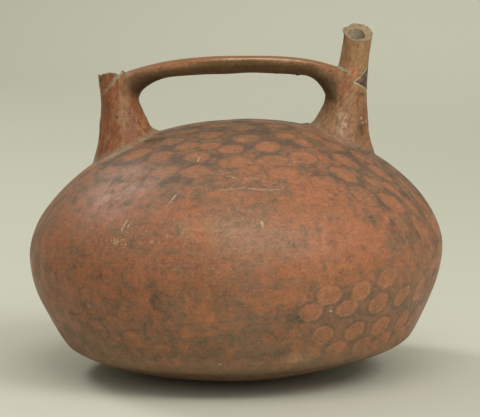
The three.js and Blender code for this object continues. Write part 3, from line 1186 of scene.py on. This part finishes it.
def front_lines(listed, points):
    """Greatest of soft lines on the front of the spouts and the strap, seen from the front."""
    most = np.zeros(len(points))
    for x0, z0, x1, z1, half_width, strength in listed:
        length = np.hypot(x1 - x0, z1 - z0)
        along = ((points[:, 0] - x0) * (x1 - x0) + (points[:, 2] - z0) * (z1 - z0)) / length
        across = ((points[:, 0] - x0) * (z1 - z0) - (points[:, 2] - z0) * (x1 - x0)) / length
        beyond = along - np.clip(along, 0, length)
        most = np.maximum(most, strength * np.exp(-(across ** 2 + beyond ** 2) / half_width ** 2))
    return most * smooth_step(-points[:, 1], *FRONT_FADE)


def strap_edge_glint(points):
    """Front edge of the strap's top, partly worn and partly a painted glint: a soft line at a share of its
    half width, over a stretch of X.
    """
    share, half_share, middle, half_length = EDGE_GLINT
    half_width, _, edge, _ = strap_section(along_strap(points))
    across = -points[:, 1] / half_width
    line = np.exp(-((across - share) / half_share) ** 2) * (points[:, 2] > edge)
    return line * np.exp(-((points[:, 0] - middle) / half_length) ** 4)


def foot_values(points, above_body, above_spout):
    """Share of the neck's colour, strength of the pale line and nearness of the right foot.

    The share rises with the height above the body. The line is a bell curve of the height on the spout, and
    the nearness one of the distance from it.
    """
    x, _, z = points.T
    on_left = x[:, None] < 0
    neck = smooth_step(above_body, *np.where(on_left, *NECK_STARTS).T)
    lift, half_width, strength = np.where(on_left, *FOOT_LINES).T
    line = strength * np.exp(-((above_body - above_spout - lift) / half_width) ** 2)
    line = line * (np.abs(above_body) < FOOT_RISE + lift) * (z > FOOT_LEVEL)
    near_right = np.exp(-(np.maximum(above_spout, 0) / WORN_REACH) ** 2) * (x > 0)
    return neck, line, near_right


def bare_breaks(points, above_spout):
    """How much bare clay shows: a bell curve of the height above each break."""
    x, y, z = points.T
    left = np.exp(-((z - broken_rim(x, y)) / BARE_HALF_DEPTH) ** 2)
    left = left * (x < BROKEN_BREAK_END) * (above_spout < BROKEN_BREAK_REACH)
    right = np.exp(-((z - pouring_rim(x, y)) / BARE_HALF_DEPTH) ** 2) * (x > POURING_BREAK_START)
    return np.maximum(left, right)


def incised(points, above_spout):
    """Distance from the triangle's lines and height above its field, on the skin of the right spout."""
    x, y, z = points.T
    line, field = triangle_place(tube_place(points, POURING_SPOUT)[0], z)
    low, high = INCISED_HEIGHTS
    on_skin = (np.abs(above_spout) < INCISED_SKIN) & (z > low) & (z < high)
    on_skin &= (x > INCISED_LEFT) & (y < INCISED_BACK)
    return np.where(on_skin, line, FAR), np.where(on_skin, field, FAR)


def under_skin(points, above_body, above_spout):
    """Depth below the outer skin; the strap counts only between its ends."""
    between_ends = (points[:, 0] > STRAP_LEFT) & (points[:, 0] < STRAP_RIGHT)
    above_strap = np.where(between_ends, strap_height(points), FAR)
    return -np.minimum.reduce([above_body, above_spout, above_strap])


def looks(points):
    """Values that the material reads at each point, by name."""
    angle, arc, above_body = body_place(points)
    above_spout = spout_height(points)
    values = {name: patches(listed, angle, arc) for name, listed in BODY_PATCHES.items()}
    values |= {name: front_patches(listed, points) for name, listed in FRONT_PATCHES.items()}
    neck, foot_line, near_right = foot_values(points, above_body, above_spout)
    values["paint"] -= WORN_PAINT * near_right
    values["dull"] += WORN_DULLNESS * near_right
    values["neck"] = neck
    values["seam"] = foot_line
    values["strap"] = smooth_step(above_spout, *STRAP_STARTS) * neck
    dot, values["dot_wear"] = dot_height(angle, arc)
    values["dot"] = np.where(above_body < DOT_RISE, dot, FAR)
    values["low"] = smooth_step(arc, *LOW_GROUND)
    values["edge"] = strap_edge_glint(points)
    values["pale"] = front_lines(PALE_LINES, points)
    values["broken"] = bare_breaks(points, above_spout)
    values["inside"] = smooth_step(under_skin(points, above_body, above_spout), *INSIDE_STARTS)
    values["line"], values["inlay"] = incised(points, above_spout)
    return values


def surface_map(mesh, points):
    """UV map in millimetres: distance round the widest ring from the front, and arc length from the crown.

    The three corners of a triangle are kept on the same side of the seam at the back.
    """
    angle, arc, _ = body_place(points)
    corners = np.empty(len(mesh.loops), int)
    mesh.loops.foreach_get("vertex_index", corners)
    turn = turned_apart(angle[corners], FRONT).reshape(-1, 3)
    turn = turn[:, :1] + turned_apart(turn, turn[:, :1])
    layer = mesh.uv_layers.new(name="surface")
    layer.data.foreach_set("uv", np.stack([turn.ravel() * BODY_RADIUS, arc[corners]], -1).ravel())


class Graph:
    """Adds nodes to a shader tree; a value is either a socket to link or a constant."""

    def __init__(self, tree):
        self.tree = tree
        self.clouds = {}

    def add(self, kind, values=None, **settings):
        """New node with some settings and input values."""
        node = self.tree.nodes.new(kind)
        for name, setting in settings.items():
            setattr(node, name, setting)
        for key, value in (values or {}).items():
            if isinstance(value, bpy.types.NodeSocket):
                self.tree.links.new(value, node.inputs[key])
            else:
                node.inputs[key].default_value = value
        return node

    def maths(self, operation, *values):
        """Result of one arithmetic step."""
        return self.add("ShaderNodeMath", dict(enumerate(values)), operation=operation).outputs[0]

    def plus(self, first, *others):
        """Sum of values."""
        for other in others:
            first = self.maths("ADD", first, other)
        return first

    def times(self, first, *others):
        """Product of values."""
        for other in others:
            first = self.maths("MULTIPLY", first, other)
        return first

    def away(self, value, middle):
        """Distance of a value from a middle one."""
        return self.maths("ABSOLUTE", self.maths("SUBTRACT", value, middle))

    def vectors(self, operation, *values):
        """Vector that one step of vector arithmetic gives."""
        node = self.add("ShaderNodeVectorMath", dict(enumerate(values)), operation=operation)
        return node.outputs["Vector"]

    def measure(self, operation, *values):
        """Number that one step of vector arithmetic gives."""
        node = self.add("ShaderNodeVectorMath", dict(enumerate(values)), operation=operation)
        return node.outputs["Value"]

    def brightened(self, colour, value):
        """Colour multiplied by a value."""
        return self.add("ShaderNodeVectorMath", {0: colour, "Scale": value}, operation="SCALE").outputs[0]

    def blend(self, share, a, b):
        """Value a changed to value b by a share."""
        return self.add("ShaderNodeMix", {0: share, 2: a, 3: b}, data_type="FLOAT").outputs[0]

    def mix(self, share, a, b):
        """Colour a changed to colour b by a share."""
        return self.add("ShaderNodeMix", {0: share, 6: a, 7: b}, data_type="RGBA").outputs[2]

    def ramp(self, value, low, high, start=0.0, end=1.0):
        """Smooth change from start to end while a value goes from low to high."""
        values = {"Value": value, "From Min": low, "From Max": high, "To Min": start, "To Max": end}
        return self.add("ShaderNodeMapRange", values, interpolation_type="SMOOTHSTEP").outputs[0]

    def noise(self, place, scale, detail, roughness):
        """Cloudy value between 0 and 1."""
        values = {"Vector": place, "Scale": scale, "Detail": detail, "Roughness": roughness}
        return self.add("ShaderNodeTexNoise", values).outputs["Fac"]

    def layered(self, colour, *layers):
        """Colour under layers, each a share and a colour."""
        for share, layer in layers:
            colour = self.mix(share, colour, layer)
        return colour

    def clouded(self, value, strengths):
        """A value with cloudy values added, each moved to lie about 0 and scaled by its strength."""
        for name, strength in strengths.items():
            value = self.plus(value, self.maths("MULTIPLY_ADD", self.clouds[name], strength, -strength / 2))
        return value

    def stored(self, name):
        """Value stored on the mesh."""
        return self.add("ShaderNodeAttribute", attribute_name=name).outputs["Fac"]

    def mask(self, name):
        """Share from a stored value with clouds added, as its row of masks says."""
        strengths, *change = MASKS[name]
        return self.ramp(self.clouded(self.stored(name), strengths), *change)

    def patchy(self, name):
        """Share from one cloudy value, as its row of patchiness says."""
        cloud, *change = PATCHINESS[name]
        return self.ramp(self.clouds[cloud], *change)


def stroke_group():
    """Node group for one scratch: 1 within its half width of a straight line, 0 beyond."""
    group = bpy.data.node_groups.new("stroke", "ShaderNodeTree")
    for name, kind in (("Map", "Vector"), ("Place", "Vector"), ("Direction", "Vector"),
                       ("Half Length", "Float"), ("Half Width", "Float")):
        group.interface.new_socket(name, in_out="INPUT", socket_type="NodeSocket" + kind)
    group.interface.new_socket("Mask", in_out="OUTPUT", socket_type="NodeSocketFloat")
    g = Graph(group)
    given = g.add("NodeGroupInput").outputs
    apart = g.vectors("SUBTRACT", given["Map"], given["Place"])
    along = g.measure("DOT_PRODUCT", apart, given["Direction"])
    across = g.measure("LENGTH", g.vectors("CROSS_PRODUCT", apart, given["Direction"]))
    beyond = g.maths("MAXIMUM", g.maths("SUBTRACT", g.maths("ABSOLUTE", along), given["Half Length"]), 0.0)
    distance = g.maths("SQRT", g.plus(g.times(beyond, beyond), g.times(across, across)))
    mask = g.ramp(g.maths("DIVIDE", distance, given["Half Width"]), *STROKE_EDGE)
    g.add("NodeGroupOutput", {"Mask": mask})
    return group


def scratches(g):
    """Greatest of all scratch masks, on a map that the clouds bend a little."""
    group = stroke_group()
    bend = g.add("ShaderNodeCombineXYZ", {0: g.clouded(0.0, BEND_ROUND), 1: g.clouded(0.0, BEND_DOWN)})
    bent_map = g.vectors("ADD", g.clouds["surface"], bend.outputs[0])
    worn = 0.0
    for angle, arc, half_length, half_width, slant, strength in SCRATCHES:
        values = {
            "Map": bent_map,
            "Place": ((np.radians(angle) - FRONT) * BODY_RADIUS, arc, 0),
            "Direction": (np.cos(np.radians(slant)), -np.sin(np.radians(slant)), 0),
            "Half Length": half_length,
            "Half Width": half_width,
        }
        mask = g.add("ShaderNodeGroup", values, node_tree=group).outputs[0]
        worn = g.maths("MAXIMUM", worn, g.times(mask, strength))
    return g.times(worn, g.patchy("scratch"))


def cloudy_values(g):
    """Cloudy values that the tones share, from broad clouds to fine grain, and streaks along the wiping."""
    place = g.add("ShaderNodeTexCoord").outputs["Object"]
    surface = g.add("ShaderNodeUVMap", uv_map="surface").outputs[0]
    clouds = {name: g.noise(place, *settings) for name, settings in CLOUDS.items()}
    ways = {"object": place, "surface": surface}
    for name, (way, stretch, scale, detail) in STREAKS.items():
        clouds[name] = g.noise(g.vectors("MULTIPLY", ways[way], stretch), scale, detail, STREAK_ROUGHNESS)
    return {"surface": surface, **clouds}


def slip_colour(g):
    """Worn slip of the body, from red to brown, with a painted highlight haze in places and tan where the
    burnish has gone.
    """
    slip = g.mix(g.mask("dull"), SLIP_RED, SLIP_BROWN)
    return g.layered(slip, (g.mask("haze_highlight"), HAZE_HIGHLIGHT), (g.mask("tan"), TAN))


def painted_colour(g, slip):
    """Dots kept red under the resist, the greyish ground round them and their dark outlines, all worn."""
    paint = g.stored("paint")
    low = g.stored("low")
    edge = g.plus(g.clouded(g.stored("dot"), DOT_BLUR), g.ramp(low, 0, 1, *DOT_GROWTH))
    wear = g.times(g.clouded(0.0, PAINT_WEAR), g.ramp(low, 0, 1, *WEAR_SHARE))
    cover = g.ramp(g.plus(paint, wear), *COVER)
    kept = g.mix(low, g.mix(g.mask("dot_wear"), DOT_RED, DOT_BROWN), DOT_LOW)
    ground = g.mix(low, g.mix(g.patchy("ground"), GROUND, GROUND_DARK), GROUND_LOW)
    hiding = g.times(cover, g.ramp(low, 0, 1, *HIDING_SHARE))
    rim = g.ramp(g.away(edge, RIM_PLACE), *RIM_FADE)
    outline = g.ramp(g.away(edge, OUTLINE_PLACE), *OUTLINE_FADE)
    shown = g.ramp(g.plus(g.stored("ring"), g.times(wear, OUTLINE_WEAR)), *OUTLINE_COVER)
    return g.layered(
        slip,
        (g.times(g.ramp(paint, *KEPT_SHARE), g.ramp(edge, *KEPT_EDGE)), kept),
        (g.times(g.ramp(edge, *GROUND_EDGE), hiding), ground),
        (g.times(rim, low, cover), DOT_RIM),
        (g.times(outline, shown), OUTLINE),
    )


def soiled_colour(g, colour, grime):
    """Body colour under grime, dark smudges, pale specks and bare scratches."""
    return g.layered(
        colour,
        (g.times(grime, GRIME_SHARE), GRIME),
        (g.mask("smudge"), SMUDGE),
        (g.mask("speck"), SPECK),
        (scratches(g), BARE),
    )


def neck_colour(g, strap):
    """Spouts and strap: red to ochre slip in upright streaks, painted shade on the strap's downward faces,
    and soot with painted shade in its corners.
    """
    g.clouds["streak"] = g.blend(strap, g.clouds["upright"], g.clouds["lengthwise"])
    colour = g.layered(
        g.mix(g.mask("ochre"), NECK_RED, NECK_OCHRE),
        (g.mask("fresh"), FRESH),
        (g.times(strap, STRAP_SHARE), STRAP_TOP),
        # painted shade: dark brown on the strap's downward faces
        (g.times(g.mask("facing"), strap, UNDER_SHADE_SHARE), STRAP_UNDERSIDE_SHADE),
        (g.times(g.stored("edge"), g.patchy("edge")), WORN_GLINT),
        # soot, with painted shade in the strap's corners
        (g.mask("soot_and_shade"), SOOT_AND_SHADE),
        (g.mask("pale"), PALE),
        (g.mask("spot"), SOOT_AND_SHADE),
    )
    return g.brightened(colour, g.clouded(1.0, NECK_SPECKLE))


def marked_colour(g, colour):
    """Pale seams at the spouts' feet, and the triangle's dark field and pale lines, over a colour."""
    return g.layered(
        colour,
        (g.times(g.stored("seam"), g.patchy("seam")), SEAM),
        (g.times(g.mask("inlay"), g.patchy("inlay")), INLAY),
        (g.times(g.mask("line"), g.patchy("line")), CREAM),
    )


def speckled_colour(g, colour):
    """Colour with its brightness changed by shade, clouds, grain and fine lines."""
    return g.brightened(colour, g.clouded(g.plus(g.stored("shade"), 1.0), SPECKLE))


def roughness(g, changes):
    """Roughness of the burnish with changes added, each a mask and a strength."""
    return g.plus(g.patchy("burnish"), *(g.times(*change) for change in changes))


def clay():
    """Burnished slip with worn resist-painted dots, bare scratches, painted highlights, a handle with soot
    and painted shade, and clean breaks.
    """
    material = bpy.data.materials.new("burnished_clay")
    material.use_nodes = True
    g = Graph(material.node_tree)
    g.clouds = cloudy_values(g)
    strap, broken, inside = (g.stored(name) for name in ("strap", "broken", "inside"))
    grime = g.mask("grime")
    shine_and_highlight = g.times(g.stored("gloss_and_highlight"), g.patchy("gloss_and_highlight"))

    body = soiled_colour(g, painted_colour(g, slip_colour(g)), grime)
    # pale painted highlight on the glossy patches of the spout
    neck = g.mix(g.times(shine_and_highlight, SHEEN_HIGHLIGHT_SHARE), neck_colour(g, strap), SHEEN_HIGHLIGHT)
    colour = marked_colour(g, g.mix(g.stored("neck"), body, neck))
    fracture = g.mix(g.patchy("fracture"), FRACTURE, FRACTURE_DARK)
    colour = speckled_colour(g, g.layered(colour, (inside, INSIDE), (broken, fracture)))

    bare = g.maths("MAXIMUM", broken, inside)
    rough = roughness(g, ((grime, GRIME_ROUGHENS), (bare, BARE_ROUGHENS),
                          (shine_and_highlight, GLOSS_SMOOTHS), (strap, STRAP_ROUGHENS)))
    relief = g.plus(*(g.times(g.clouds[name], share) for name, share in RELIEF))
    bump = g.add("ShaderNodeBump", {"Height": relief, "Strength": BUMP_STRENGTH, "Distance": BUMP_DISTANCE})

    shader = material.node_tree.nodes["Principled BSDF"]
    shader.inputs["Specular IOR Level"].default_value = SPECULAR
    for name, value in (("Base Color", colour), ("Roughness", rough), ("Normal", bump.outputs[0])):
        g.tree.links.new(value, shader.inputs[name])
    return material


def upwardness(mesh):
    """How far the skin faces up at each point: 1 up, -1 down."""
    flat = np.empty(len(mesh.vertices) * 3)
    mesh.vertex_normals.foreach_get("vector", flat)
    return flat[2::3]


def shade_smooth(mesh):
    """Every face of the mesh shaded smooth."""
    mesh.polygons.foreach_set("use_smooth", np.ones(len(mesh.polygons), bool))


def vessel():
    """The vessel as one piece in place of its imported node."""
    mesh = vessel_mesh()
    mesh.name = "vessel_skin"
    points = positions(mesh)
    stored = looks(points)
    stored["facing"] = upwardness(mesh)
    for name, values in stored.items():
        mesh.attributes.new(name, "FLOAT", "POINT").data.foreach_set("value", values.astype(np.float32))
    surface_map(mesh, points)
    shade_smooth(mesh)
    mesh.set_sharp_from_angle(angle=SHARP_ANGLE)
    mesh.materials.clear()
    mesh.materials.append(clay())
    made = placed("vessel_skin", mesh)
    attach(made, "root")
    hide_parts("vessel")


def paper():
    """Plain pale paper of the backdrop."""
    material = bpy.data.materials.new("pale_paper")
    material.use_nodes = True
    inputs = material.node_tree.nodes["Principled BSDF"].inputs
    inputs["Base Color"].default_value = PAPER
    inputs["Roughness"].default_value = PAPER_ROUGHNESS
    inputs["Specular IOR Level"].default_value = PAPER_SPECULAR
    return material


def backdrop():
    """Floor that sweeps up into a wall behind and, lower, at both sides: the rises of two profiles, added."""
    turn = np.linspace(0, np.pi / 2, COVE_STEPS)
    out = COVE_RADIUS * np.sin(turn)
    up = COVE_RADIUS * (1 - np.cos(turn))
    depth = np.concatenate([[FLOOR_FRONT], COVE_START + out, [COVE_START + COVE_RADIUS]])
    rise = np.concatenate([[0], up, [WALL_TOP]])
    side = np.concatenate([-FLOOR_HALF_WIDTH - out[::-1], FLOOR_HALF_WIDTH + out])[:, None]
    side_rise = np.concatenate([up[::-1], up])[:, None]
    points = np.stack(np.broadcast_arrays(side, depth, rise + side_rise), -1).reshape(-1, 3)
    columns = len(depth)
    start = (np.arange(len(side) - 1)[:, None] * columns + np.arange(columns - 1)).ravel()
    faces = np.stack([start, start + columns, start + columns + 1, start + 1], -1)
    mesh = bpy.data.meshes.new("backdrop")
    mesh.from_pydata(points.tolist(), [], faces.tolist())
    shade_smooth(mesh)
    mesh.materials.append(paper())
    placed("backdrop", mesh)


def soft_light(name, azimuth, elevation, distance, size, power, aim, spread):
    """Square area light at a distance from where it looks; azimuth goes from the front to the right."""
    data = bpy.data.lights.new(name, "AREA")
    data.size = size
    data.energy = power
    data.spread = np.radians(spread)
    made = placed(name, data)
    turn, rise = np.radians(azimuth), np.radians(elevation)
    away = Vector((np.sin(turn) * np.cos(rise), -np.cos(turn) * np.cos(rise), np.sin(rise)))
    made.location = Vector(aim) + distance * away
    made.rotation_euler = away.to_track_quat("Z", "Y").to_euler()


def camera():
    """Camera at the height, distance and tilt that the outline of the vessel fits."""
    data = bpy.data.cameras.new("camera")
    data.sensor_width = SENSOR
    data.lens = LENS
    made = placed("camera", data)
    made.location = CAMERA_PLACE
    made.rotation_euler = (np.radians(90 - CAMERA_TILT), 0, 0)
    bpy.context.scene.camera = made


def lights():
    """Soft lights in an even pale surround: overhead, key, back left, fill and one on the wall."""
    world = bpy.data.worlds.new("surround")
    bpy.context.scene.world = world
    world.use_nodes = True
    inputs = world.node_tree.nodes["Background"].inputs
    inputs["Color"].default_value = SURROUND
    inputs["Strength"].default_value = SURROUND_STRENGTH
    for light in LIGHTS:
        soft_light(*light)
    bpy.context.scene.view_settings.view_transform = "Standard"


vessel()
backdrop()
lights()
camera()
